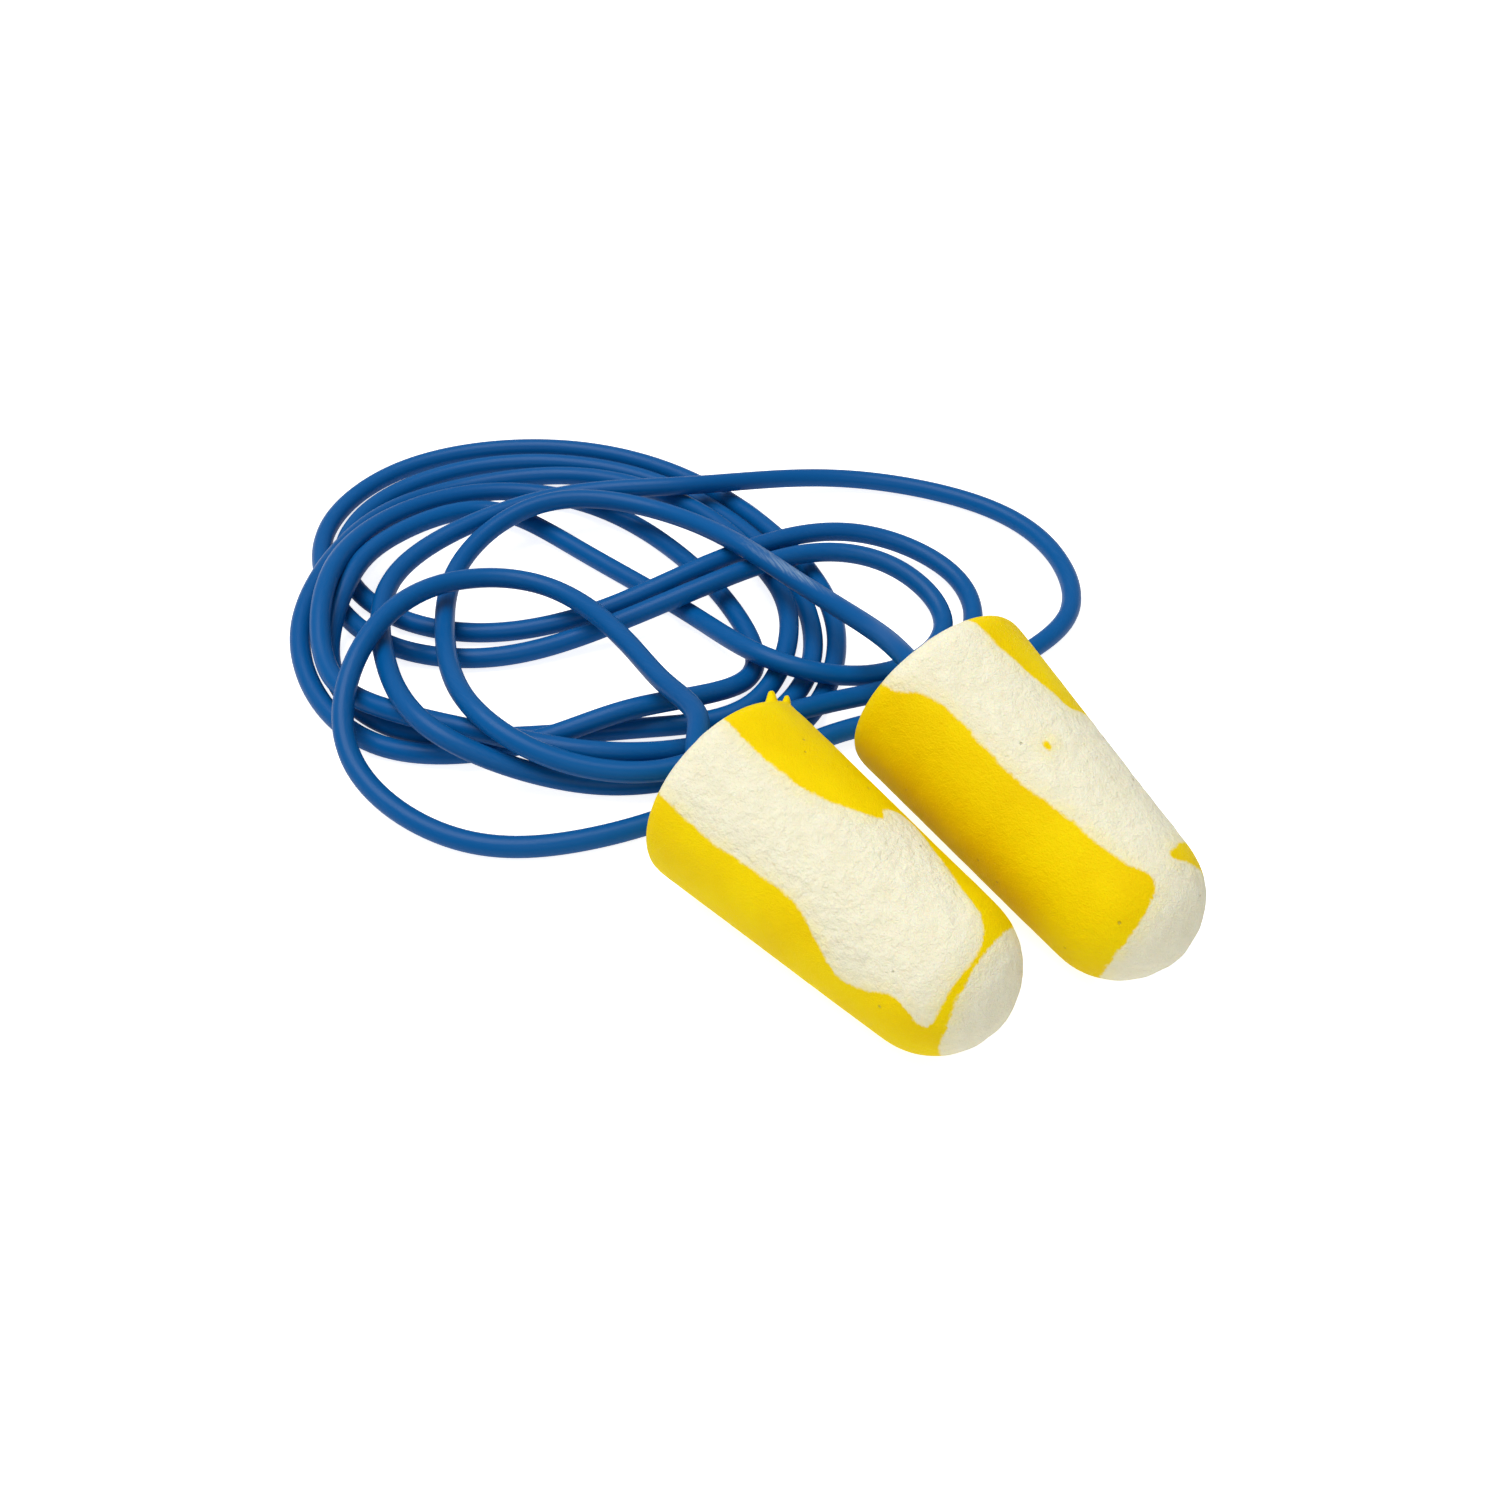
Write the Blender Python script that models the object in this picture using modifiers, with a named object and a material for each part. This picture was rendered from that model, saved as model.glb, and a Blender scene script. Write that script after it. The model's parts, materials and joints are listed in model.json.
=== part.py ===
"""Pair of tapered foam ear plugs joined by one long flexible cord.

Each plug is a soft bullet with a blind hole in the middle of its flat base. One end of the cord
is held in that hole by a bead of adhesive. The plugs lie on their sides, the rear one with its
base raised on three strands of the cord, and the cord lies beside them in loose coils.

Metres, +Z up. The origin is on the surface, under the middle of the box that holds both plugs.
"""

import math

import bpy
import numpy as np
from mathutils import Matrix, Vector

MM = 0.001
GAP = 0.35 * MM                 # clearance between neighbouring solids

# Plug, measured along its axis from the flat base to the tip.
PLUG_LENGTH = 25.0 * MM
BASE_RADIUS = 7.1 * MM
TIP_RADIUS = 5.45 * MM          # where the tapered side meets the dome
EDGE_RADIUS = 1.4 * MM          # rounding of the base edge
DOME_LENGTH = 5.2 * MM
PLUG_SIDES = 40
DOME_STEPS = 6
EDGE_STEPS = 3

# Cord and the hole that holds it.
CORD_RADIUS = 0.8 * MM
CORD_DEPTH = 10.0 * MM          # length of cord inside each plug
BEAD_LENGTH = 1.4 * MM
BEAD_SIDES = 16
BORE_RADIUS = CORD_RADIUS + GAP
BORE_DEPTH = CORD_DEPTH + GAP + BEAD_LENGTH + GAP
CORD_TUBE_POINTS = 80
BEND_LENGTH = 10 * MM           # a bend of one radian gets as many tube points as this much cord
CORD_BEVEL_RESOLUTION = 2

# Where the plugs lie: base centre, heading of the tip and downward tilt of the tip.
FRONT_BASE_XY = (-13.37 * MM, 4.39 * MM)
FRONT_HEADING = math.radians(-46.2)
REAR_BASE_XY = (1.21 * MM, 11.40 * MM)
REAR_HEADING = math.radians(-54.2)
REAR_TILT = math.radians(12.5)

# The cord's way from the front plug to the rear plug, in millimetres. Every point is on the
# cord's centre line, so 0.9 is cord that lies on the surface and more is cord on other strands.
ROUTE_MM = [
    # off the front plug, over the coils and down round their near side
    (-14.8, 10.6, 7.1), (-17.5, 16.0, 5.6), (-21.2, 22.4, 4.7), (-27.8, 29.0, 4.2),
    (-36.0, 27.5, 5.3), (-40.5, 19.5, 5.4), (-40.0, 11.0, 2.6), (-32.5, 5.0, 1.0),
    (-23.5, 4.5, 0.9),
    # past both plugs and out into the widest loop, under the raised base of the rear plug
    (-14.0, 8.5, 1.0), (-6.0, 14.0, 1.6), (2.5, 18.0, 1.0), (9.0, 23.0, 0.9),
    (15.0, 29.5, 0.9), (14.5, 38.5, 0.9), (8.5, 45.0, 0.9), (-1.0, 48.0, 1.1),
    # first coil, lying on top of the far strands
    (-9.5, 46.5, 2.2), (-17.5, 43.5, 3.6), (-27.0, 42.5, 3.4), (-35.5, 38.0, 3.2),
    (-40.5, 31.0, 2.9), (-39.0, 20.5, 4.0), (-34.0, 12.0, 4.6), (-25.5, 10.0, 1.7),
    (-17.0, 10.5, 0.9), (-8.5, 15.0, 0.9), (-4.5, 23.0, 0.9), (-5.0, 32.0, 0.9),
    # second coil, the outermost one
    (-10.0, 41.5, 0.9), (-17.5, 49.0, 0.9), (-26.5, 53.0, 0.9), (-36.0, 53.0, 0.9),
    (-44.0, 49.0, 0.9), (-48.0, 41.0, 0.9), (-46.0, 32.0, 0.9), (-40.0, 25.5, 0.9),
    # back across the middle of the coils to the inner loop behind the rear plug
    (-31.0, 24.0, 1.0), (-22.0, 27.0, 1.9), (-13.5, 30.5, 3.6), (-6.0, 34.5, 3.2),
    (1.0, 33.5, 2.4), (4.5, 27.5, 1.0), (-1.5, 21.0, 1.8), (-10.0, 21.5, 3.2),
    # third coil
    (-16.5, 29.5, 1.2), (-26.0, 38.0, 1.0), (-34.5, 42.5, 1.8), (-41.5, 36.5, 3.2),
    (-44.0, 30.0, 3.1), (-44.0, 22.5, 1.2), (-38.0, 16.0, 0.9), (-28.5, 15.0, 0.9),
    (-19.0, 16.0, 0.9), (-11.0, 18.5, 1.0), (-8.0, 26.5, 1.9), (-10.0, 34.5, 1.7),
    # fourth coil
    (-15.5, 42.0, 1.9), (-23.5, 47.5, 1.4), (-32.0, 48.5, 1.0), (-40.5, 45.0, 1.2),
    (-45.0, 37.0, 2.7), (-47.0, 27.0, 2.4), (-44.0, 18.5, 1.2), (-37.0, 13.5, 0.9),
    (-27.5, 13.5, 1.8), (-19.5, 16.0, 3.0), (-11.5, 21.0, 1.2), (-12.0, 28.5, 1.0),
    # fifth coil
    (-17.0, 37.0, 0.9), (-25.0, 44.0, 1.1), (-34.5, 45.0, 1.9), (-42.0, 39.5, 3.1),
    (-45.0, 30.0, 4.4), (-44.0, 21.5, 3.2), (-39.5, 16.5, 2.9), (-30.5, 13.0, 3.3),
    (-22.0, 11.5, 2.8), (-13.0, 14.5, 1.1), (-7.0, 21.0, 0.9), (-6.5, 30.0, 0.9),
    # sixth coil, then across the middle to the outer loop behind the rear plug
    (-10.5, 39.0, 0.9), (-17.5, 46.5, 0.9), (-26.0, 50.5, 0.9), (-35.5, 50.5, 0.9),
    (-43.5, 45.5, 1.0), (-46.0, 37.5, 0.9), (-41.5, 30.0, 0.9), (-33.0, 27.0, 0.9),
    (-24.0, 28.5, 1.7), (-16.0, 32.0, 3.2), (-8.0, 36.5, 3.3), (-0.5, 38.0, 2.3),
    (6.0, 34.0, 1.2), (6.5, 26.5, 0.9), (0.5, 20.0, 1.5), (-9.0, 15.0, 3.0),
    # last coil, on top of the others, and up to the rear plug
    (-16.0, 10.0, 2.9), (-24.5, 9.5, 3.9), (-31.5, 14.0, 5.2), (-35.0, 24.0, 3.3),
    (-35.0, 34.0, 2.9), (-28.5, 40.5, 4.0), (-19.0, 39.5, 3.9), (-12.0, 32.9, 5.3),
    (-7.0, 27.3, 5.6), (-2.1, 19.9, 7.4),
]
TAIL_DEPTHS = (CORD_DEPTH, CORD_DEPTH / 2, -1.5 * MM)   # points on a plug's axis, minus is outside


def clear_scene():
    for thing in list(bpy.data.objects):
        bpy.data.objects.remove(thing, do_unlink=True)


def make_collection(name):
    collection = bpy.data.collections.new(name)
    bpy.context.scene.collection.children.link(collection)
    return collection


def make_material(name, colour, roughness):
    material = bpy.data.materials.new(name)
    material.use_nodes = True
    shader = material.node_tree.nodes["Principled BSDF"]
    shader.inputs["Base Color"].default_value = (*colour, 1.0)
    shader.inputs["Roughness"].default_value = roughness
    shader.inputs["Metallic"].default_value = 0.0
    material.diffuse_color = (*colour, 1.0)
    return material


def turned_solid(name, profile, sides, material, collection):
    """Spin a profile of (radius, height) pairs, listed from the top down the outside."""
    mesh = bpy.data.meshes.new(name)
    points = [(radius, 0.0, height) for radius, height in profile]
    edges = [(i, i + 1) for i in range(len(points) - 1)]
    mesh.from_pydata(points, edges, [])
    solid = bpy.data.objects.new(name, mesh)
    collection.objects.link(solid)
    spin = solid.modifiers.new("turn", "SCREW")
    spin.axis = "Z"
    spin.steps = sides
    spin.render_steps = sides
    spin.use_merge_vertices = True
    spin.merge_threshold = 0.00001
    spin.use_smooth_shade = True
    mesh.materials.append(material)
    return solid


def arc(centre, radii, start, end, steps):
    """Points of an elliptical arc, both ends included; 0 degrees is outwards, 90 is up."""
    angles = [math.radians(start + (end - start) * i / steps) for i in range(steps + 1)]
    return [(centre[0] + radii[0] * math.cos(a), centre[1] + radii[1] * math.sin(a)) for a in angles]


def plug_profile():
    """Half section of a plug: tip, dome, side, base edge, base face, then the blind hole."""
    dome = arc((0.0, PLUG_LENGTH - DOME_LENGTH), (TIP_RADIUS, DOME_LENGTH), 90, 0, DOME_STEPS)
    dome[0] = (0.0, PLUG_LENGTH)
    edge_centre = (BASE_RADIUS - EDGE_RADIUS, EDGE_RADIUS)
    edge = arc(edge_centre, (EDGE_RADIUS, EDGE_RADIUS), 0, -90, EDGE_STEPS)
    edge[-1] = (edge_centre[0], 0.0)
    hole = [(BORE_RADIUS, 0.0), (BORE_RADIUS, BORE_DEPTH), (0.0, BORE_DEPTH)]
    return dome + edge + hole


def bead_profile():
    """Half section of a bead: a short drop with rounded shoulders, just past the cord's end."""
    bottom = CORD_DEPTH + GAP
    top = bottom + BEAD_LENGTH
    shoulder = BEAD_LENGTH / 4
    return [
        (0.0, top),
        (CORD_RADIUS - shoulder, top),
        (CORD_RADIUS, top - shoulder),
        (CORD_RADIUS, bottom + shoulder),
        (CORD_RADIUS - shoulder, bottom),
        (0.0, bottom),
    ]


def side_taper():
    """Angle between a plug's axis and its tapered side."""
    return math.atan2(BASE_RADIUS - TIP_RADIUS, PLUG_LENGTH - DOME_LENGTH - EDGE_RADIUS)


def height_on_side():
    """Height of the base centre when the whole length of the side touches the surface."""
    taper = side_taper()
    radius_at_base = BASE_RADIUS + EDGE_RADIUS * math.tan(taper)
    return radius_at_base * math.cos(taper)


def height_on_tip(tilt):
    """Height of the base centre when only the domed tip touches the surface."""
    drop = (PLUG_LENGTH - DOME_LENGTH) * math.sin(tilt)
    dome_reach = math.hypot(TIP_RADIUS * math.cos(tilt), DOME_LENGTH * math.sin(tilt))
    return drop + dome_reach


def plug_matrix(base_xy, height, heading, tilt):
    """Frame of a plug: origin at its base centre, +Z towards its tip."""
    turn = Matrix.Rotation(heading, 4, "Z") @ Matrix.Rotation(math.radians(90) + tilt, 4, "Y")
    return Matrix.Translation((*base_xy, height)) @ turn


def make_plug(side, frame, foam, glue, collection):
    """A foam plug and its adhesive bead, both placed by one empty."""
    holder = bpy.data.objects.new(side + "_frame", None)
    holder.empty_display_size = 5 * MM
    holder.matrix_world = frame
    collection.objects.link(holder)
    plug = turned_solid(side + "_plug", plug_profile(), PLUG_SIDES, foam, collection)
    bead = turned_solid(side + "_glue_bead", bead_profile(), BEAD_SIDES, glue, collection)
    plug.parent = holder
    bead.parent = holder


def smooth_curve(points, positions):
    """Natural cubic spline through the points, read at positions counted in points."""
    points = np.array(points, dtype=float)
    count = len(points)
    system = np.eye(count)
    bends = np.zeros_like(points)
    for i in range(1, count - 1):
        system[i, i - 1:i + 2] = (1.0, 4.0, 1.0)
        bends[i] = 6.0 * (points[i - 1] - 2.0 * points[i] + points[i + 1])
    bends = np.linalg.solve(system, bends)
    curve = []
    for position in positions:
        i = min(int(position), count - 2)
        b = position - i
        a = 1.0 - b
        straight = a * points[i] + b * points[i + 1]
        curve.append(straight + ((a**3 - a) * bends[i] + (b**3 - b) * bends[i + 1]) / 6.0)
    return curve


def spread_positions(points, first, last, count):
    """Positions on the curve between two points, closer together where the curve bends."""
    fine = np.linspace(first, last, 10 * int(last - first) + 1)
    steps = np.diff(smooth_curve(points, fine), axis=0)
    lengths = np.linalg.norm(steps, axis=1)
    headings = steps / lengths[:, None]
    bends = np.arccos(np.clip((headings[1:] * headings[:-1]).sum(axis=1), -1.0, 1.0))
    shares = np.cumsum([0.0, *(lengths + BEND_LENGTH * np.append(bends, 0.0))])
    return np.interp(np.linspace(0.0, shares[-1], count), shares, fine)


def make_cord(front, rear, material, collection):
    """One tube from deep inside the front plug, round the coils, into the rear plug."""
    start = [front @ Vector((0, 0, depth)) for depth in TAIL_DEPTHS]
    middle = [Vector(point) * MM for point in ROUTE_MM]
    end = [rear @ Vector((0, 0, depth)) for depth in reversed(TAIL_DEPTHS)]
    points = start + middle + end
    last = len(points) - 1
    between = spread_positions(points, 2, last - 2, CORD_TUBE_POINTS - 4)
    centres = smooth_curve(points, [0, 1, *between, last - 1, last])

    curve = bpy.data.curves.new("cord", "CURVE")
    curve.dimensions = "3D"
    curve.bevel_depth = CORD_RADIUS
    curve.bevel_resolution = CORD_BEVEL_RESOLUTION
    curve.use_fill_caps = True
    spline = curve.splines.new("POLY")
    spline.points.add(len(centres) - 1)
    for vertex, centre in zip(spline.points, centres):
        vertex.co = (*centre, 1.0)
    cord = bpy.data.objects.new("cord", curve)
    curve.materials.append(material)
    collection.objects.link(cord)


def main():
    clear_scene()
    parts = make_collection("corded_foam_ear_plugs")
    foam = make_material("foam", (0.90, 0.70, 0.02), 0.85)
    glue = make_material("adhesive", (0.80, 0.78, 0.66), 0.35)
    vinyl = make_material("blue_vinyl", (0.0, 0.09, 0.30), 0.35)

    front = plug_matrix(FRONT_BASE_XY, height_on_side(), FRONT_HEADING, side_taper())
    rear = plug_matrix(REAR_BASE_XY, height_on_tip(REAR_TILT), REAR_HEADING, REAR_TILT)
    make_plug("front", front, foam, glue, parts)
    make_plug("rear", rear, foam, glue, parts)
    make_cord(front, rear, vinyl, parts)


main()
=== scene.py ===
"""Corded foam ear plugs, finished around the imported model.

Two tapered foam plugs, marbled in yellow and cream, lie side by side. One long blue vinyl cord
runs from the hole in one base to the hole in the other, in loose coils beside them. A drop of
adhesive holds each end of the cord at the bottom of its hole.

Metres, +Z up, in the frame's own coordinates. A plug is made at the origin, standing on its base,
and is then moved to where the frame has it.
"""
import json
import math

import bpy
import numpy as np
from mathutils import Matrix, Vector

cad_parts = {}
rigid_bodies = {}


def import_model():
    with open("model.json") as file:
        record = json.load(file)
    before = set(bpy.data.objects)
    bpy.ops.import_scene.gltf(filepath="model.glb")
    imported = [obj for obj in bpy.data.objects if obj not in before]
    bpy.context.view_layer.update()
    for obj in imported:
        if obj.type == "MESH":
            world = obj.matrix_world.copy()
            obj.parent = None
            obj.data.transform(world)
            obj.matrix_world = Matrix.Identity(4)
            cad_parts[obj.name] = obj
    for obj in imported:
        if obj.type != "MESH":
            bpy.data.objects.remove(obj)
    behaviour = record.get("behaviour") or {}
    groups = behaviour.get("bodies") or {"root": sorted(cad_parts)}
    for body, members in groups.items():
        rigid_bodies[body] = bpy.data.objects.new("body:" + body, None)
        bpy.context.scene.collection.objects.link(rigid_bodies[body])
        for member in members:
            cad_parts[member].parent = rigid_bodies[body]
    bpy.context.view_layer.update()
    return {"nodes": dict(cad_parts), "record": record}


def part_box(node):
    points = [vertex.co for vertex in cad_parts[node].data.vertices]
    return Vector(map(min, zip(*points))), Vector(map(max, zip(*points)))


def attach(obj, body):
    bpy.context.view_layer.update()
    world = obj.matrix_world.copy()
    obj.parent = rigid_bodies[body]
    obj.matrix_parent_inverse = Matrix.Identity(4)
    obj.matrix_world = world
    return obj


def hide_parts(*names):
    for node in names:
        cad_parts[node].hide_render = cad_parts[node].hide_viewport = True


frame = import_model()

MM = 0.001

# Plug, measured along its axis from the flat base to the tip.
PLUG_LENGTH = 25.0 * MM
BASE_RADIUS = 7.1 * MM
TIP_RADIUS = 5.45 * MM          # where the tapered side meets the dome
EDGE_RADIUS = 1.4 * MM          # rounding of the base edge
DOME_LENGTH = 5.2 * MM
DOME_FOOT = PLUG_LENGTH - DOME_LENGTH
PLUG_SIDES = 40
SIDE_RINGS = 12
SMOOTHING = 3                   # subdivision levels of the foam
GRID_RADIUS = 1.0 * MM          # the tip is closed by a small grid of this radius

# Marbling of the two foams. A point is (station, angle): the station is the height in mm above
# the base on the side and tip, and minus the distance in from the rim on the base face. The
# angle is in degrees from the top line of the lying plug, minus to the side it shows in front.
FRONT_BAND = [
    (-4.5, -40), (-3, -60), (-1, -60),
    # edge along the yellow side, with its two waves
    (1, -55), (5, -60), (10, -55), (12.5, -55), (15, -70), (16.5, -80), (18.5, -75), (20.5, -60),
    (23, -80),
    # edge beside the cap
    (22.5, -35), (22.5, 0), (21, 20),
    # edge along the upper yellow patch
    (18.5, 25), (15, 40), (12.5, 50), (11.5, 30), (12.5, 20), (10, 5), (7.5, -5), (1, -5),
    (-2, 5), (-3.5, 20), (-5, 0),
]
FRONT_BELLY = [
    (2, 105), (6, 90), (11, 105), (16, 100), (19, 110), (18.5, 135), (14, 150), (10, 140),
    (5, 160), (0, 150), (-2, 165), (-4, 150), (-3, 110), (-1, 95),
]
FRONT_CAP_EDGE = [
    (23, -180), (23.5, -130), (23.5, -65), (23, -30), (22.5, 0), (22, 50), (21.5, 90), (22, 130),
    (23, 180),
]
REAR_FLANK = [
    (-4, -110), (-4.5, -80), (-3, -55), (0, -55), (2, -50), (3, -40), (5.5, -35), (11, -35),
    (13, -30), (15.5, -25), (19, -20), (21.5, -5), (22.5, -30), (23, -60), (23, -130),
    (22, -170), (18, -200), (14, -190), (9, -200), (4, -185), (0, -175), (-3, -160),
    (-4.5, -135),
]
REAR_STRIPE = [
    (-5, 50), (-4.5, 20), (-2, 10), (2, 10), (5, 15), (8, 25), (9.5, 30), (9.5, 80), (12.5, 90),
    (15.5, 105), (13, 120), (8, 125), (3, 130), (0, 120), (-2.5, 110), (-3.5, 85),
]
REAR_TIP_PATCH = [
    (20.5, 10), (20, 30), (20, 60), (21.5, 90), (22.5, 65), (21.5, 30),
]
REAR_DOT = [(10.4, -8), (10.4, -4), (11, -4), (11, -8)]

# Bits of flash left on each plug's rim: (angle, height, width), in degrees and mm.
FRONT_NIBS = [(39, 0.75, 0.36), (59, 0.95, 0.34), (50, 0.20, 0.9), (-150, 0.4, 0.3)]
REAR_NIBS = [(120, 0.6, 0.3), (128, 0.4, 0.26)]

# Cord, the hole that grips it, and the drop of adhesive past its end.
CORD_RADIUS = 0.8 * MM
CORD_DEPTH = 10.0 * MM          # length of cord inside each plug
GLUE_LENGTH = 1.4 * MM
GLUE_GAP = 0.35 * MM
HOLE_DEPTH = CORD_DEPTH + 2 * GLUE_GAP + GLUE_LENGTH
CORD_SIDES = 16
CORD_STEPS_PER_SPAN = 14

# The cord's way from the front plug to the rear plug, in millimetres. Every point is on the
# cord's centre line, so 0.9 is cord on the surface, with 0.1 to spare, and more is cord on other
# strands.
ROUTE_MM = [
    # off the front plug, over the coils and down round their near side
    (-14.8, 10.6, 7.1), (-17.5, 16.0, 5.6), (-21.2, 22.4, 4.7), (-27.8, 29.0, 4.2),
    (-36.0, 27.5, 5.3), (-40.5, 19.5, 5.4), (-40.0, 11.0, 2.6), (-32.5, 5.0, 1.0),
    (-23.5, 4.5, 0.9),
    # past both plugs and out into the widest loop, under the raised base of the rear plug
    (-14.0, 8.5, 1.0), (-6.0, 14.0, 1.6), (2.5, 18.0, 1.0), (9.0, 23.0, 0.9),
    (15.0, 29.5, 0.9), (14.5, 38.5, 0.9), (8.5, 45.0, 0.9), (-1.0, 48.0, 1.1),
    # first coil, lying on top of the far strands
    (-9.5, 46.5, 2.2), (-17.5, 43.5, 3.6), (-27.0, 42.5, 3.4), (-35.5, 38.0, 3.2),
    (-40.5, 31.0, 2.9), (-39.0, 20.5, 4.0), (-34.0, 12.0, 4.6), (-25.5, 10.0, 1.7),
    (-17.0, 10.5, 0.9), (-8.5, 15.0, 0.9), (-4.5, 23.0, 0.9), (-5.0, 32.0, 0.9),
    # second coil, the outermost one
    (-10.0, 41.5, 0.9), (-17.5, 49.0, 0.9), (-26.5, 53.0, 0.9), (-36.0, 53.0, 0.9),
    (-44.0, 49.0, 0.9), (-48.0, 41.0, 0.9), (-46.0, 32.0, 0.9), (-40.0, 25.5, 0.9),
    # back across the middle of the coils to the inner loop behind the rear plug
    (-31.0, 24.0, 1.0), (-22.0, 27.0, 1.9), (-13.5, 30.5, 3.6), (-6.0, 34.5, 3.2),
    (1.0, 33.5, 2.4), (4.5, 27.5, 1.0), (-1.5, 21.0, 1.8), (-10.0, 21.5, 3.2),
    # third coil
    (-16.5, 29.5, 1.2), (-26.0, 38.0, 1.0), (-34.5, 42.5, 1.8), (-41.5, 36.5, 3.2),
    (-44.0, 30.0, 3.1), (-44.0, 22.5, 1.2), (-38.0, 16.0, 0.9), (-28.5, 15.0, 0.9),
    (-19.0, 16.0, 0.9), (-11.0, 18.5, 1.0), (-8.0, 26.5, 1.9), (-10.0, 34.5, 1.7),
    # fourth coil
    (-15.5, 42.0, 1.9), (-23.5, 47.5, 1.4), (-32.0, 48.5, 1.0), (-40.5, 45.0, 1.2),
    (-45.0, 37.0, 2.7), (-47.0, 27.0, 2.4), (-44.0, 18.5, 1.2), (-37.0, 13.5, 0.9),
    (-27.5, 13.5, 1.8), (-19.5, 16.0, 3.0), (-11.5, 21.0, 1.2), (-12.0, 28.5, 1.0),
    # fifth coil
    (-17.0, 37.0, 0.9), (-25.0, 44.0, 1.1), (-34.5, 45.0, 1.9), (-42.0, 39.5, 3.1),
    (-45.0, 30.0, 4.4), (-44.0, 21.5, 3.2), (-39.5, 16.5, 2.9), (-30.5, 13.0, 3.3),
    (-22.0, 11.5, 2.8), (-13.0, 14.5, 1.1), (-7.0, 21.0, 0.9), (-6.5, 30.0, 0.9),
    # sixth coil, then across the middle to the outer loop behind the rear plug
    (-10.5, 39.0, 0.9), (-17.5, 46.5, 0.9), (-26.0, 50.5, 0.9), (-35.5, 50.5, 0.9),
    (-43.5, 45.5, 1.0), (-46.0, 37.5, 0.9), (-41.5, 30.0, 0.9), (-33.0, 27.0, 0.9),
    (-24.0, 28.5, 1.7), (-16.0, 32.0, 3.2), (-8.0, 36.5, 3.3), (-0.5, 38.0, 2.3),
    (6.0, 34.0, 1.2), (6.5, 26.5, 0.9), (0.5, 20.0, 1.5), (-9.0, 15.0, 3.0),
    # last coil, on top of the others, and up to the rear plug
    (-16.0, 10.0, 2.9), (-24.5, 9.5, 3.9), (-31.5, 14.0, 5.2), (-35.0, 24.0, 3.3),
    (-35.0, 34.0, 2.9), (-28.5, 40.5, 4.0), (-19.0, 39.5, 3.9), (-12.0, 32.9, 5.3),
    (-7.0, 27.3, 5.6), (-2.1, 19.9, 7.4),
]
# Depths of the cord's points on each plug's axis; minus is outside the plug.
TAIL_DEPTHS = (CORD_DEPTH, CORD_DEPTH / 2, -1.5 * MM)

# How the grain of the materials is laid over the pieces, in mm.
REAR_GRAIN_SHIFT = 40.0                     # keeps the rear plug's grain unlike the front one's
CORD_GRAIN_DRIFT = (0.20, 0.12, 0.06)       # for each mm of cord, so that its grain never repeats

# Depth of the creases in the cream foam.
FRONT_CREPE = 0.75
REAR_CREPE = 0.40

# Colours, as linear red, green, blue and alpha.
DEEP_YELLOW = (0.86, 0.605, 0.0, 1)
BRIGHT_YELLOW = (0.92, 0.685, 0.0, 1)
DULL_CREAM = (0.85, 0.805, 0.595, 1)
PALE_CREAM = (0.89, 0.85, 0.65, 1)
STAINED_CREAM = (0.88, 0.74, 0.12, 1)       # where yellow foam shows through beside a seam
# dark brown, painted shade inside the small pits of the foam
PIT_SHADE_BROWN = (0.45, 0.36, 0.12, 1)
DARK_BLUE = (0.0, 0.084, 0.285, 1)
MID_BLUE = (0.0, 0.096, 0.315, 1)
# pale blue of the rubbed marks, which also serves as a painted highlight along the cord's upper side
RUBBED_AND_HIGHLIGHT_BLUE = (0.30, 0.42, 0.55, 1)
DUST_GREY = (0.3, 0.4, 0.5, 1)
DARK_ADHESIVE = (0.62, 0.55, 0.34, 1)
LIGHT_ADHESIVE = (0.78, 0.73, 0.55, 1)

# Light of the white room and of the floor: what they give to all else, and what the camera sees
# on top of that.
ROOM_LIGHT = 0.36
ROOM_EXTRA_SEEN = 0.75
FLOOR_LIGHT = 0.22
FLOOR_EXTRA_SEEN = 0.60


# ---------------------------------------------------------------- working with objects

def deselect_all():
    for thing in bpy.context.view_layer.objects:
        thing.select_set(False)
    bpy.context.view_layer.objects.active = None


def pick(thing):
    """Makes one object the only selected one."""
    deselect_all()
    thing.select_set(True)
    bpy.context.view_layer.objects.active = thing


def into_mesh(thing, matrix):
    """Puts a place into the object's mesh, so that the object itself stays at the origin."""
    pick(thing)
    thing.matrix_world = matrix
    bpy.ops.object.transform_apply(location=True, rotation=True, scale=True)


def apply_modifier(thing, modifier):
    pick(thing)
    bpy.ops.object.modifier_apply(modifier=modifier.name)


def vertex_places(mesh):
    places = np.zeros(len(mesh.vertices) * 3, np.float32)
    mesh.vertices.foreach_get("co", places)
    return places.reshape(-1, 3).astype(float)


def store_numbers(mesh, name, numbers):
    """Keeps one number per vertex for the materials."""
    layer = mesh.attributes.new(name, "FLOAT", "POINT")
    layer.data.foreach_set("value", np.asarray(numbers, np.float32))


def store_vectors(mesh, name, vectors):
    """Keeps one vector per vertex for the materials."""
    layer = mesh.attributes.new(name, "FLOAT_VECTOR", "POINT")
    layer.data.foreach_set("vector", np.asarray(vectors, np.float32).ravel())


# ---------------------------------------------------------------- where the plugs lie

def plug_frame(side):
    """The plug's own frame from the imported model: origin at its base centre, +Z to its tip."""
    mount = next(m for m in frame["record"]["mounts"] if m["name"] == side + "_plug_base")
    axis = -Vector(mount["axis"]).normalized()
    low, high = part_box(side + "_glue_bead")
    bead_depth = CORD_DEPTH + GLUE_GAP + GLUE_LENGTH / 2
    base = (Vector(low) + Vector(high)) / 2 - axis * bead_depth
    sideways = Vector((0, 0, 1)).cross(axis).normalized()
    down = sideways.cross(axis)
    return Matrix.Translation(base) @ Matrix((down, sideways, axis)).transposed().to_4x4()


# ---------------------------------------------------------------- camera, light and floor

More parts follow.
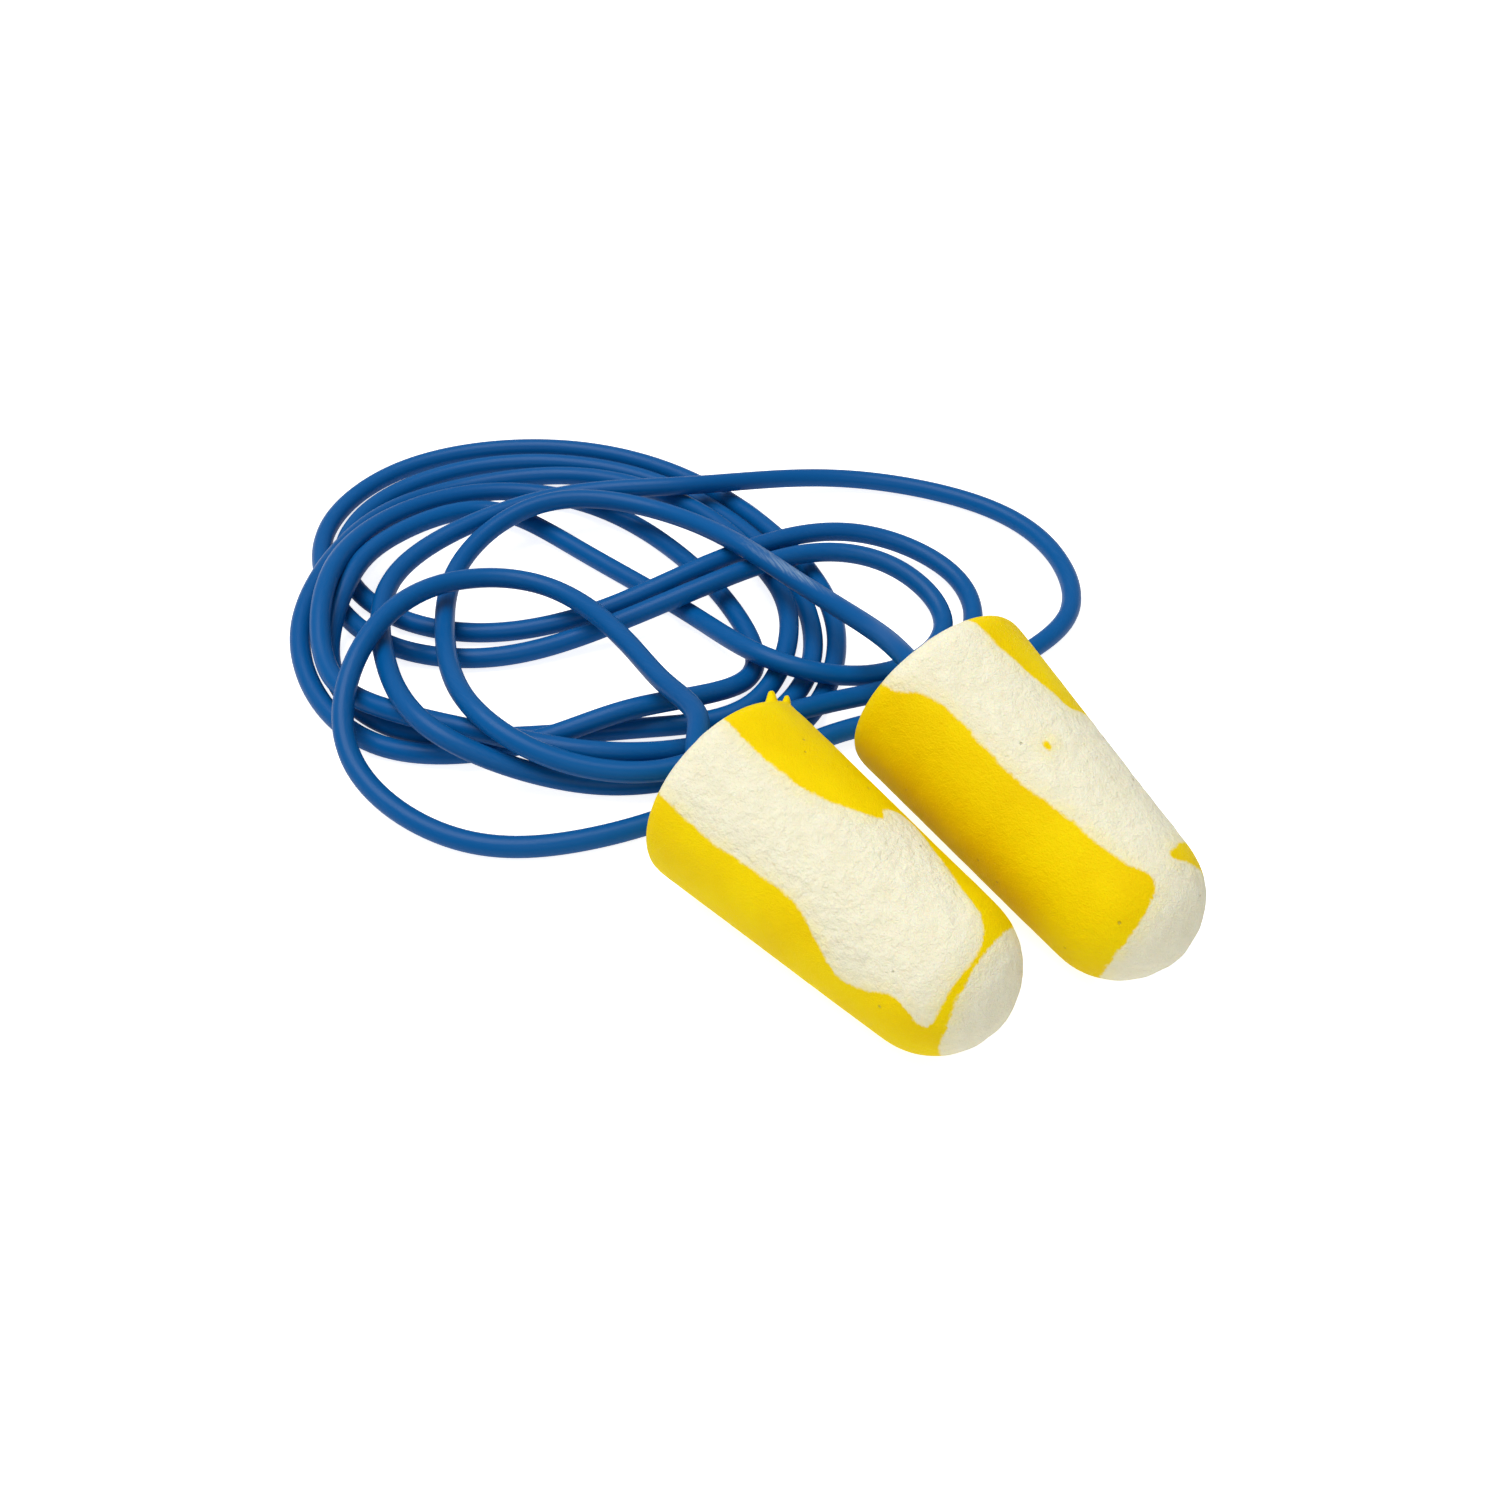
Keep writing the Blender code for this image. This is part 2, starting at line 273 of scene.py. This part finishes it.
def make_camera():
    """Looks along +Y and down at 45 degrees, at the middle of the object."""
    distance = 113 * MM
    target = Vector((-11.13, 14.5, 0)) * MM
    bpy.ops.object.camera_add()
    camera = bpy.context.object
    camera.name = "camera"
    camera.data.lens = 36
    camera.data.sensor_width = 36
    camera.data.clip_start = 1 * MM
    camera.data.clip_end = 10
    camera.rotation_euler = (math.radians(45), 0, 0)
    camera.location = target + Vector((0, -distance, distance)) * math.sqrt(0.5)
    bpy.context.scene.camera = camera


def make_softbox(name, place, size, power):
    """A round lamp that faces the middle of the object."""
    target = Vector((-11, 15, 0)) * MM
    bpy.ops.object.light_add(type="AREA", location=place)
    lamp = bpy.context.object
    lamp.name = name
    lamp.data.shape = "DISK"
    lamp.data.size = size
    lamp.data.energy = power
    lamp.rotation_euler = (target - Vector(place)).to_track_quat("-Z", "Y").to_euler()


def make_studio():
    """Two softboxes in a white room that looks brighter than the light it gives."""
    make_softbox("overhead_softbox", place=(-0.12, 0.05, 0.42), size=0.36, power=1.60)
    make_softbox("front_softbox", place=(-0.02, -0.36, 0.28), size=0.30, power=0.22)
    world = bpy.data.worlds.new("white_room")
    world.use_nodes = True
    tree = world.node_tree
    background = tree.nodes["Background"]
    background.inputs["Color"].default_value = (1, 1, 1, 1)
    seen = add_node(tree, "ShaderNodeLightPath").outputs["Is Camera Ray"]
    strength = calculate(tree, "MULTIPLY_ADD", seen, ROOM_EXTRA_SEEN, ROOM_LIGHT)
    tree.links.new(strength, background.inputs["Strength"])
    bpy.context.scene.world = world
    bpy.context.scene.view_settings.view_transform = "Standard"


def make_floor():
    """A white table wide enough to fill the view, lifted to the white of the room."""
    bpy.ops.mesh.primitive_plane_add(size=6, location=(0, 0, 0))
    floor = bpy.context.object
    floor.name = "floor"
    material, tree, shader = start_material(
        "white_table", Base_Color=(0.8, 0.8, 0.8, 1), Roughness=0.9, Specular_IOR_Level=0.1,
        Emission_Color=(1, 1, 1, 1))
    seen = add_node(tree, "ShaderNodeLightPath").outputs["Is Camera Ray"]
    lift = calculate(tree, "MULTIPLY_ADD", seen, FLOOR_EXTRA_SEEN, FLOOR_LIGHT)
    tree.links.new(lift, shader.inputs["Emission Strength"])
    floor.data.materials.append(material)


# ---------------------------------------------------------------- cord

def smooth_curve(points, positions):
    """Natural cubic spline through the points, read at positions counted in points."""
    points = np.array(points, dtype=float)
    count = len(points)
    system = np.eye(count)
    bends = np.zeros_like(points)
    for i in range(1, count - 1):
        system[i, i - 1:i + 2] = (1.0, 4.0, 1.0)
        bends[i] = 6.0 * (points[i - 1] - 2.0 * points[i] + points[i + 1])
    bends = np.linalg.solve(system, bends)
    curve = []
    for position in positions:
        i = min(int(position), count - 2)
        b = position - i
        a = 1.0 - b
        straight = a * points[i] + b * points[i + 1]
        curve.append(straight + ((a**3 - a) * bends[i] + (b**3 - b) * bends[i + 1]) / 6.0)
    return curve


def cord_centre_line(front, rear):
    """Closely spaced points from the cord's end in the front plug to its end in the rear plug."""
    start = [front @ Vector((0, 0, depth)) for depth in TAIL_DEPTHS]
    middle = [Vector(point) * MM for point in ROUTE_MM]
    end = [rear @ Vector((0, 0, depth)) for depth in reversed(TAIL_DEPTHS)]
    points = start + middle + end
    last = len(points) - 1
    return np.array(smooth_curve(points, np.linspace(0, last, CORD_STEPS_PER_SPAN * last + 1)))


def make_cord(front, rear):
    """One vinyl cord, as a tube round its centre line; also returns its length."""
    line = cord_centre_line(front, rear)
    bpy.ops.curve.primitive_nurbs_path_add(location=(0, 0, 0))
    cord = bpy.context.object
    cord.name = "blue_cord"
    cord.data.splines.clear()
    spline = cord.data.splines.new("POLY")
    spline.points.add(len(line) - 1)
    for vertex, centre in zip(spline.points, line):
        vertex.co = (*centre, 1.0)
    cord.data.dimensions = "3D"
    cord.data.bevel_depth = CORD_RADIUS
    cord.data.bevel_resolution = CORD_SIDES // 2 - 2
    cord.data.use_fill_caps = True
    pick(cord)
    bpy.ops.object.convert(target="MESH")
    cord = bpy.context.object
    bpy.ops.object.shade_smooth()

    lengths = np.append(0.0, np.cumsum(np.linalg.norm(np.diff(line, axis=0), axis=1)))
    cord_length = float(lengths[-1])
    sides = len(cord.data.vertices) // len(line)
    ring = np.minimum(np.arange(len(cord.data.vertices)) // sides, len(line) - 1)
    store_numbers(cord.data, "along", lengths[ring])
    outward = (vertex_places(cord.data) - line[ring]) / MM
    drift = lengths[ring][:, None] / MM * np.array(CORD_GRAIN_DRIFT)
    store_vectors(cord.data, "cord_place", outward + drift)
    store_numbers(cord.data, "upward", outward[:, 2] * MM / CORD_RADIUS)

    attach(cord, "root")
    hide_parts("cord")
    return cord, cord_length


# ---------------------------------------------------------------- foam plugs

def arc(centre, radii, start, end, steps):
    """Points of an elliptical arc, both ends included; 0 degrees is outwards, 90 is up."""
    angles = [math.radians(start + (end - start) * i / steps) for i in range(steps + 1)]
    return [(centre[0] + radii[0] * math.cos(a), centre[1] + radii[1] * math.sin(a)) for a in angles]


def plug_outside():
    """(radius, height) from the rim of the tip's grid down to the hole in the base face."""
    dome_start = math.degrees(math.acos(GRID_RADIUS / TIP_RADIUS))
    dome = arc((0, DOME_FOOT), (TIP_RADIUS, DOME_LENGTH), dome_start, 0, 6)
    side = []
    for i in range(1, SIDE_RINGS):
        share = i / SIDE_RINGS
        radius = TIP_RADIUS + (BASE_RADIUS - TIP_RADIUS) * share
        side.append((radius, DOME_FOOT + (EDGE_RADIUS - DOME_FOOT) * share))
    edge = arc((BASE_RADIUS - EDGE_RADIUS, EDGE_RADIUS), (EDGE_RADIUS, EDGE_RADIUS), 0, -90, 4)
    face = [(4.4 * MM, 0.0), (3.0 * MM, 0.0), (1.9 * MM, 0.03 * MM), (1.3 * MM, 0.12 * MM)]
    return dome + side + edge + face


def plug_hole():
    """(radius, height) of the hole, whose lip curls in and grips the cord."""
    grip = CORD_RADIUS + 0.04 * MM
    return [(1.0 * MM, 0.35 * MM), (grip, 0.9 * MM), (grip, HOLE_DEPTH / 2), (grip, HOLE_DEPTH)]


def turn_plug(name):
    """Draws the plug out of one ring, ring by ring, and closes the tip and the hole."""
    sections = plug_outside() + plug_hole()
    radius, height = sections[0]
    bpy.ops.mesh.primitive_circle_add(vertices=PLUG_SIDES, radius=radius, location=(0, 0, 0))
    plug = bpy.context.object
    plug.name = name
    bpy.ops.object.mode_set(mode="EDIT")
    bpy.ops.mesh.select_all(action="SELECT")
    bpy.ops.transform.translate(value=(0, 0, height))
    bpy.ops.mesh.fill_grid(span=PLUG_SIDES // 4)
    bpy.ops.object.mode_set(mode="OBJECT")
    for vertex in plug.data.vertices:
        reach = math.hypot(vertex.co.x, vertex.co.y)
        vertex.select = abs(reach - radius) < radius * 0.001
        rise = math.sqrt(max(0.0, 1.0 - (reach / TIP_RADIUS) ** 2))
        vertex.co.z = DOME_FOOT + DOME_LENGTH * rise
    select_rim_edges(plug.data)
    bpy.ops.object.mode_set(mode="EDIT")
    bpy.ops.mesh.select_mode(type="EDGE")
    for next_radius, next_height in sections[1:]:
        step = (0, 0, next_height - height)
        bpy.ops.mesh.extrude_edges_move(TRANSFORM_OT_translate={"value": step})
        ratio = next_radius / radius
        centre = (0, 0, next_height)
        bpy.ops.transform.resize(value=(ratio, ratio, 1), center_override=centre)
        radius, height = next_radius, next_height
    bpy.ops.mesh.fill_grid(span=PLUG_SIDES // 4)
    bpy.ops.mesh.select_all(action="SELECT")
    bpy.ops.mesh.normals_make_consistent(inside=False)
    bpy.ops.object.mode_set(mode="OBJECT")
    return plug


def select_rim_edges(mesh):
    """Leaves selected only the edges that run along the open rim."""
    rim = {vertex.index for vertex in mesh.vertices if vertex.select}
    for face in mesh.polygons:
        face.select = False
    for edge in mesh.edges:
        edge.select = edge.vertices[0] in rim and edge.vertices[1] in rim


def stations_and_angles(places):
    """Where each vertex is in the marbling's terms: stations in mm and angles in degrees."""
    x, y, z = places.T
    radius = np.hypot(x, y)
    station = np.where(z < EDGE_RADIUS, z - (BASE_RADIUS - radius), z)
    return station / MM, np.degrees(np.arctan2(y, -x))


def surface_points(outline):
    """Points of an outline on the plug's surface, in metres."""
    profile = plug_outside()
    radii = np.array([radius for radius, height in profile] + [0.0])
    heights = np.array([height for radius, height in profile] + [0.0])
    stations = np.where(heights < EDGE_RADIUS, heights - (BASE_RADIUS - radii), heights)
    order = np.argsort(stations)
    wanted = np.array([station for station, angle in outline]) * MM
    on_dome = wanted > DOME_FOOT
    dome_share = np.sqrt(np.clip(1.0 - ((wanted - DOME_FOOT) / DOME_LENGTH) ** 2, 0, 1))
    radius = np.interp(wanted, stations[order], radii[order])
    radius = np.where(on_dome, TIP_RADIUS * dome_share, radius)
    height = np.interp(wanted, stations[order], heights[order])
    height = np.where(on_dome, wanted, height)
    angle = np.radians([angle for station, angle in outline])
    return np.stack([-radius * np.cos(angle), radius * np.sin(angle), height], axis=1)


def rounded(outline, closed, times=3):
    """The outline with its corners cut, several times over."""
    points = np.array(outline, dtype=float)
    for _ in range(times):
        following = np.roll(points, -1, axis=0) if closed else points[1:]
        here = points if closed else points[:-1]
        cut = np.stack([0.75 * here + 0.25 * following, 0.25 * here + 0.75 * following], axis=1)
        cut = cut.reshape(-1, 2)
        points = cut if closed else np.vstack([points[:1], cut, points[-1:]])
    return points


def inside(outline, stations, angles):
    """Which vertices lie inside a closed outline."""
    found = np.zeros(len(stations), bool)
    for turn in (-360, 0, 360):
        around = angles + turn
        crossings = np.zeros(len(stations), bool)
        for (station, angle), (next_station, next_angle) in zip(outline, np.roll(outline, -1, axis=0)):
            if angle == next_angle:
                continue
            spans = (angle > around) != (next_angle > around)
            slope = (next_station - station) / (next_angle - angle)
            crossings ^= spans & (stations < station + (around - angle) * slope)
        found |= crossings
    return found


def distance_to_line(points, places):
    """Distance in metres from each vertex to a line through surface points."""
    nearest = np.full(len(places), np.inf)
    for start, end in zip(points[:-1], points[1:]):
        along = end - start
        share = (places - start) @ along / max(along @ along, 1e-18)
        foot = start + np.clip(share, 0, 1)[:, None] * along
        nearest = np.minimum(nearest, np.linalg.norm(places - foot, axis=1))
    return nearest


def patch_depth(outline, places, to_tip=False):
    """How deep in mm each vertex lies in a patch, minus outside it.

    With to_tip, the outline is the patch's lower edge only, and the patch takes in all above it.
    """
    stations, angles = stations_and_angles(places)
    outline = rounded(outline, closed=not to_tip)
    if to_tip:
        line = surface_points(outline)
        beyond = PLUG_LENGTH / MM + 5       # a station past the tip
        area = np.vstack([outline, [(beyond, 180.0), (beyond, -180.0)]])
    else:
        line = surface_points(np.vstack([outline, outline[:1]]))
        area = outline
    distance = distance_to_line(line, places) / MM
    return np.where(inside(area, stations, angles), distance, -distance)


def front_cream(places):
    """The front plug is yellow, with a cream band, belly and cap."""
    band = patch_depth(FRONT_BAND, places)
    belly = patch_depth(FRONT_BELLY, places)
    cap = patch_depth(FRONT_CAP_EDGE, places, to_tip=True)
    return np.maximum(np.maximum(band, belly), cap)


def rear_cream(places):
    """The rear plug is cream, with yellow patches."""
    patches = (REAR_FLANK, REAR_STRIPE, REAR_TIP_PATCH, REAR_DOT)
    return -np.max([patch_depth(patch, places) for patch in patches], axis=0)


def foam_relief(plug, name, pattern, size, strength, group=""):
    """Raises and lowers the skin by a soft random pattern."""
    texture = bpy.data.textures.new(name, pattern)
    texture.noise_scale = size
    relief = plug.modifiers.new(name, "DISPLACE")
    relief.texture = texture
    relief.texture_coords = "LOCAL"
    relief.strength = strength
    relief.mid_level = 0.5                  # as much down as up
    relief.vertex_group = group
    apply_modifier(plug, relief)


def pull_nibs(plug, nibs):
    """Draws thin bits of flash out of the rim of the base."""
    places = vertex_places(plug.data)
    moved = places.copy()
    inset = EDGE_RADIUS * (1 - math.sqrt(0.5))          # halfway round the rounded edge
    for angle, height, width in nibs:
        turn = math.radians(angle)
        outward = np.array([-math.cos(turn), math.sin(turn), 0.0])
        root = outward * (BASE_RADIUS - inset) + np.array([0.0, 0.0, inset])
        pull = outward * 0.8 + np.array([0.0, 0.0, -0.6])       # outwards, and away from the tip
        near = np.linalg.norm(places - root, axis=1) / (width * MM)
        moved += np.exp(-near**4)[:, None] * pull * height * MM
    plug.data.vertices.foreach_set("co", moved.astype(np.float32).ravel())
    plug.data.update()


def make_plug(side, place, cream, nibs, material):
    """One tapered plug of two-coloured foam."""
    plug = turn_plug(side + "_foam_plug")
    smooth = plug.modifiers.new("smooth", "SUBSURF")
    smooth.levels = SMOOTHING
    smooth.render_levels = SMOOTHING
    apply_modifier(plug, smooth)

    places = vertex_places(plug.data)
    depth = cream(places)
    store_numbers(plug.data, "cream", depth)
    grain_shift = REAR_GRAIN_SHIFT if side == "rear" else 0.0
    store_vectors(plug.data, "place", places / MM + np.array([grain_shift, 0.0, 0.0]))
    skin = plug.vertex_groups.new(name="cream_skin")
    seam_width = 0.5                        # in mm, over which the cream's wrinkles fade in
    for index, weight in enumerate(np.clip(depth / seam_width + 0.5, 0.0, 1.0)):
        skin.add([index], float(weight), "REPLACE")

    foam_relief(plug, side + "_lumps", "CLOUDS", 4.0 * MM, 0.05 * MM)
    foam_relief(plug, side + "_skin", "CLOUDS", 0.7 * MM, 0.02 * MM)
    foam_relief(plug, side + "_wrinkles", "STUCCI", 0.8 * MM, 0.06 * MM, "cream_skin")
    pull_nibs(plug, nibs)
    plug.vertex_groups.clear()
    pick(plug)
    bpy.ops.object.shade_smooth()

    plug.data.materials.append(material)
    into_mesh(plug, place)
    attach(plug, "root")
    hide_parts(side + "_plug")


# ---------------------------------------------------------------- shader building blocks

def add_node(tree, kind, settings=None, inputs=None):
    """A node with its settings, and its inputs set to values or fed by other nodes' outputs."""
    new = tree.nodes.new(kind)
    for name, value in (settings or {}).items():
        setattr(new, name, value)
    for name, value in (inputs or {}).items():
        if isinstance(value, bpy.types.NodeSocket):
            tree.links.new(value, new.inputs[name])
        else:
            new.inputs[name].default_value = value
    return new


def calculate(tree, operation, *values):
    """The result of a Math node."""
    inputs = dict(enumerate(values))
    return add_node(tree, "ShaderNodeMath", {"operation": operation}, inputs).outputs[0]


def ramp(tree, value, low, high, first=0.0, last=1.0):
    """Goes smoothly from first to last as the value goes from low to high."""
    inputs = {0: value, 1: low, 2: high, 3: first, 4: last}
    settings = {"interpolation_type": "SMOOTHSTEP"}
    return add_node(tree, "ShaderNodeMapRange", settings, inputs).outputs[0]


def blend_colours(tree, factor, first, second):
    """Goes from the first colour to the second as the factor goes from 0 to 1."""
    mix = add_node(tree, "ShaderNodeMix", {"data_type": "RGBA"}, {0: factor, 6: first, 7: second})
    return mix.outputs[2]


def attribute(tree, name, output):
    """Reads what a mesh keeps for its material: a vector, or one number as Fac."""
    return add_node(tree, "ShaderNodeAttribute", {"attribute_name": name}).outputs[output]


def start_group(name, inputs, output):
    """An empty node group: inputs are {name: (socket type, default)}, and one number comes out."""
    group = bpy.data.node_groups.new(name, "ShaderNodeTree")
    for socket_name, (kind, default) in inputs.items():
        socket = group.interface.new_socket(socket_name, in_out="INPUT", socket_type=kind)
        if default is not None:
            socket.default_value = default
    group.interface.new_socket(output, in_out="OUTPUT", socket_type="NodeSocketFloat")
    given = group.nodes.new("NodeGroupInput")
    result = group.nodes.new("NodeGroupOutput")
    return group, given, result


def make_grain():
    """Soft random grain of a given size, in the units of Place; about 0 to 1."""
    inputs = {
        "Place": ("NodeSocketVector", None),
        "Size": ("NodeSocketFloat", 1.0),
        "Detail": ("NodeSocketFloat", 2.0),
    }
    group, given, result = start_group("grain", inputs, "Height")
    scale = calculate(group, "DIVIDE", 1.0, given.outputs["Size"])
    cloud = add_node(group, "ShaderNodeTexNoise", None, {
        "Vector": given.outputs["Place"], "Scale": scale,
        "Detail": given.outputs["Detail"], "Roughness": 0.55,
    })
    spread = ramp(group, cloud.outputs[0], 0.25, 0.75)
    group.links.new(spread, result.inputs["Height"])
    return group


def make_specks():
    """Small round spots, of which a share is kept at random; 1 in a spot and 0 outside."""
    inputs = {
        "Place": ("NodeSocketVector", None),
        "Spacing": ("NodeSocketFloat", 1.0),
        "Radius": ("NodeSocketFloat", 0.1),
        "Share": ("NodeSocketFloat", 0.5),
    }
    group, given, result = start_group("specks", inputs, "Mask")
    scale = calculate(group, "DIVIDE", 1.0, given.outputs["Spacing"])
    cells = add_node(group, "ShaderNodeTexVoronoi", None, {
        "Vector": given.outputs["Place"], "Scale": scale, "Randomness": 1.0,
    })
    reach = calculate(group, "MULTIPLY", cells.outputs["Distance"], given.outputs["Spacing"])
    half = calculate(group, "MULTIPLY", given.outputs["Radius"], 0.5)
    spot = ramp(group, reach, half, given.outputs["Radius"], 1.0, 0.0)
    chance = add_node(group, "ShaderNodeSeparateColor", None, {0: cells.outputs["Color"]})
    kept = calculate(group, "LESS_THAN", chance.outputs[0], given.outputs["Share"])
    group.links.new(calculate(group, "MULTIPLY", spot, kept), result.inputs["Mask"])
    return group


def use_group(tree, group, **inputs):
    """Places a shared group in a material and returns its one output."""
    return add_node(tree, "ShaderNodeGroup", {"node_tree": group}, inputs).outputs[0]


def start_material(name, **fixed):
    """A material with its shader's fixed values set, given by socket name with _ for a space."""
    material = bpy.data.materials.new(name)
    material.use_nodes = True
    tree = material.node_tree
    shader = tree.nodes["Principled BSDF"]
    for socket_name, value in fixed.items():
        shader.inputs[socket_name.replace("_", " ")].default_value = value
    return material, tree, shader


def add_bump(tree, shader, height, strength, distance):
    """Shades the surface as if it rose by the distance where the height is 1."""
    bump = add_node(tree, "ShaderNodeBump", None, {
        "Height": height, "Strength": strength, "Distance": distance,
    })
    tree.links.new(bump.outputs[0], shader.inputs["Normal"])


# ---------------------------------------------------------------- materials

def make_foam(name, crepe_depth, grain, specks):
    """Slow-recovery foam: smooth yellow and rougher cream, with a ragged seam between them.

    Sizes and stations are in mm, and so is the attribute "cream", which is how deep a place lies
    in the cream foam.
    """
    material, tree, shader = start_material(
        name, Metallic=0.0, Specular_IOR_Level=0.05, Subsurface_Weight=0.25,
        Subsurface_Radius=(1.0, 0.7, 0.35), Subsurface_Scale=0.8 * MM)
    place = attribute(tree, "place", "Vector")
    depth = attribute(tree, "cream", "Fac")
    coarse = use_group(tree, grain, Place=place, Size=1.1, Detail=3.0)
    ragged = use_group(tree, grain, Place=place, Size=0.22, Detail=2.0)
    fine = use_group(tree, grain, Place=place, Size=0.12, Detail=2.0)
    broad = use_group(tree, grain, Place=place, Size=4.5, Detail=1.0)
    pits = use_group(tree, specks, Place=place, Spacing=1.3, Radius=0.13, Share=0.3)

    seam = calculate(tree, "MULTIPLY_ADD", ragged, 0.10, calculate(tree, "SUBTRACT", depth, 0.05))
    seam = calculate(tree, "MULTIPLY_ADD", coarse, 0.20, calculate(tree, "SUBTRACT", seam, 0.10))
    cream = ramp(tree, seam, -0.13, 0.17)

    yellow_colour = blend_colours(tree, broad, DEEP_YELLOW, BRIGHT_YELLOW)
    cream_colour = blend_colours(tree, coarse, DULL_CREAM, PALE_CREAM)
    near_seam = ramp(tree, depth, 0.1, 1.4, 0.35, 0.0)
    tint = calculate(tree, "MULTIPLY", near_seam, coarse)
    cream_colour = blend_colours(tree, tint, cream_colour, STAINED_CREAM)
    colour = blend_colours(tree, cream, yellow_colour, cream_colour)
    # The pits are darkened towards brown: painted shade in the small hollows.
    pit_shade = calculate(tree, "MULTIPLY", pits, 0.35)
    colour = blend_colours(tree, pit_shade, colour, PIT_SHADE_BROWN)
    tree.links.new(colour, shader.inputs["Base Color"])

    gloss = calculate(tree, "MULTIPLY_ADD", fine, 0.1, ramp(tree, cream, 0.0, 1.0, 0.52, 0.74))
    tree.links.new(gloss, shader.inputs["Roughness"])

    # The creases fade towards the tip. Every noise is centred on zero, so that its being stronger
    # in the cream foam leaves no step in height along the seam.
    station = add_node(tree, "ShaderNodeSeparateXYZ", None, {0: place}).outputs[2]
    crepe = use_group(tree, grain, Place=place, Size=0.6, Detail=3.5)
    fading_crepe = ramp(tree, station, 17.0, 21.5, crepe_depth, crepe_depth * 0.35)
    height = calculate(tree, "MULTIPLY", fine, 0.2)
    for noise, on_yellow, on_cream in (
            (crepe, 0.06, fading_crepe), (ragged, 0.08, 0.25), (coarse, 0.2, 0.55)):
        level = calculate(tree, "SUBTRACT", noise, 0.5)
        strength = ramp(tree, cream, 0.0, 1.0, on_yellow, on_cream)
        height = calculate(tree, "MULTIPLY_ADD", level, strength, height)
    height = calculate(tree, "MULTIPLY_ADD", pits, -1.2, height)
    add_bump(tree, shader, height, strength=0.85, distance=0.14 * MM)
    return material


def make_vinyl(grain, specks, cord_length):
    """Satin blue vinyl, a little bloomed, and rubbed pale on the stretch before the rear plug; the
    pale marks lie only on the cord's upper side, so they are partly rubbing and partly a painted
    highlight.
    """
    material, tree, shader = start_material(
        "blue_vinyl", Metallic=0.0, Specular_IOR_Level=0.14)
    place = attribute(tree, "cord_place", "Vector")
    along = attribute(tree, "along", "Fac")
    cloudy = use_group(tree, grain, Place=place, Size=6.0, Detail=2.0)
    streaks = use_group(tree, grain, Place=place, Size=0.7, Detail=3.0)
    fine = use_group(tree, grain, Place=place, Size=0.11, Detail=2.0)
    dust = use_group(tree, specks, Place=place, Spacing=2.6, Radius=0.16, Share=0.2)

    colour = blend_colours(tree, cloudy, DARK_BLUE, MID_BLUE)
    # Pale marks only on the cord's upper side: real rubbing on the stretch before the rear plug, and a
    # painted highlight along the top of the cord.
    highlight_on_top = ramp(tree, attribute(tree, "upward", "Fac"), 0.55, 0.95)
    rubbed_from = ramp(tree, along, cord_length - 38 * MM, cord_length - 28 * MM)
    rubbed_to = ramp(tree, along, cord_length - 18 * MM, cord_length - 14 * MM, 1.0, 0.0)
    rubbed = calculate(tree, "MULTIPLY", rubbed_from, rubbed_to)
    long_marks = ramp(tree, streaks, 0.2, 0.9, 0.5)
    small_marks = ramp(tree, fine, 0.35, 0.75, 0.3)
    marks = calculate(tree, "MULTIPLY", long_marks, small_marks)
    scuff_and_highlight = calculate(tree, "MULTIPLY", marks, highlight_on_top)
    # The 0.02 leaves a faint painted highlight of pale marks on top of the whole cord; the rubbed
    # stretch gets much more.
    scuff_and_highlight = calculate(tree, "MULTIPLY", scuff_and_highlight, calculate(tree, "MULTIPLY_ADD", rubbed, 0.75, 0.02))
    colour = blend_colours(tree, scuff_and_highlight, colour, RUBBED_AND_HIGHLIGHT_BLUE)
    colour = blend_colours(tree, calculate(tree, "MULTIPLY", dust, 0.3), colour, DUST_GREY)
    tree.links.new(colour, shader.inputs["Base Color"])

    gloss = calculate(tree, "MULTIPLY_ADD", streaks, 0.06, 0.32)
    tree.links.new(calculate(tree, "MULTIPLY_ADD", scuff_and_highlight, 0.4, gloss), shader.inputs["Roughness"])
    height = calculate(tree, "MULTIPLY_ADD", fine, 0.3, streaks)
    add_bump(tree, shader, height, strength=0.1, distance=0.01 * MM)
    return material


def make_glue(grain):
    """Cured clear-yellow adhesive, slightly cloudy."""
    material, tree, shader = start_material(
        "cured_adhesive", Metallic=0.0, Specular_IOR_Level=0.5, Subsurface_Weight=0.2,
        Subsurface_Radius=(1.0, 0.8, 0.4), Subsurface_Scale=0.5 * MM)
    place = add_node(tree, "ShaderNodeTexCoord").outputs["Object"]
    cloudy = use_group(tree, grain, Place=place, Size=0.6 * MM, Detail=2.0)
    colour = blend_colours(tree, cloudy, DARK_ADHESIVE, LIGHT_ADHESIVE)
    tree.links.new(colour, shader.inputs["Base Color"])
    tree.links.new(calculate(tree, "MULTIPLY_ADD", cloudy, 0.2, 0.25), shader.inputs["Roughness"])
    add_bump(tree, shader, cloudy, strength=0.3, distance=0.05 * MM)
    return material


def finish_glue_beads(material):
    """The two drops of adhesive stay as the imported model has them, with a new material."""
    for side in ("front", "rear"):
        bead = frame["nodes"][side + "_glue_bead"]
        for slot in bead.material_slots:
            slot.material = material


def main():
    make_camera()
    front = plug_frame("front")
    rear = plug_frame("rear")
    cord, cord_length = make_cord(front, rear)

    grain = make_grain()
    specks = make_specks()
    cord.data.materials.append(make_vinyl(grain, specks, cord_length))
    front_foam = make_foam("front_marbled_foam", FRONT_CREPE, grain, specks)
    rear_foam = make_foam("rear_marbled_foam", REAR_CREPE, grain, specks)
    make_plug("front", front, front_cream, FRONT_NIBS, front_foam)
    make_plug("rear", rear, rear_cream, REAR_NIBS, rear_foam)
    finish_glue_beads(make_glue(grain))

    make_studio()
    make_floor()


deselect_all()
main()
